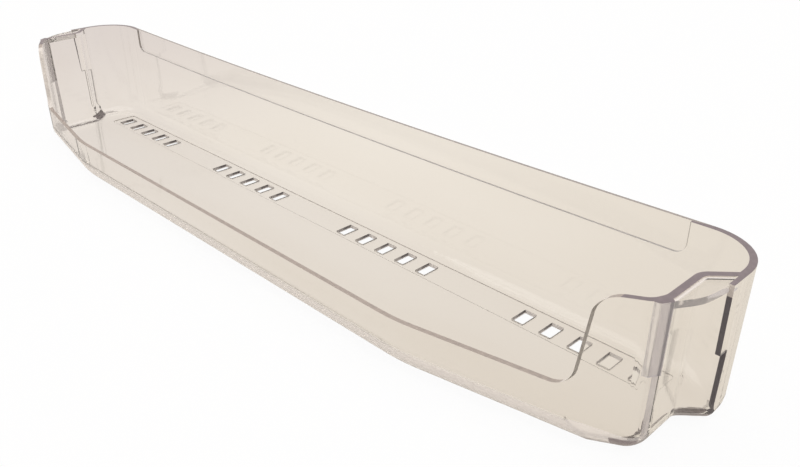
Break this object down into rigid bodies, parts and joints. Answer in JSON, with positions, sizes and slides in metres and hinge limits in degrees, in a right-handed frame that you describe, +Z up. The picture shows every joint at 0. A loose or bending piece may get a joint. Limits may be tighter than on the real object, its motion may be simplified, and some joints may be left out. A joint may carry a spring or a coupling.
{
  "type": "fridge door shelf",
  "caption": "Clear moulded tray that hangs inside a refrigerator door, with a low door-side wall, a tall bowed front wall, drain slots in the floor and a hanging channel at each end.",
  "frame": {"origin": "under the middle of the shelf, at the level of its flat underside", "axes": "+X along the shelf, +Y towards the tall front wall and away from the door, +Z up"},
  "size_m": [0.49, 0.0904, 0.066],
  "materials": {
    "clear_plastic": "clear, faintly warm tinted polystyrene with polished faces and darker cut rims"
  },
  "bodies": {
    "root": {"door_shelf": "clear_plastic"}
  },
  "joints": []
}
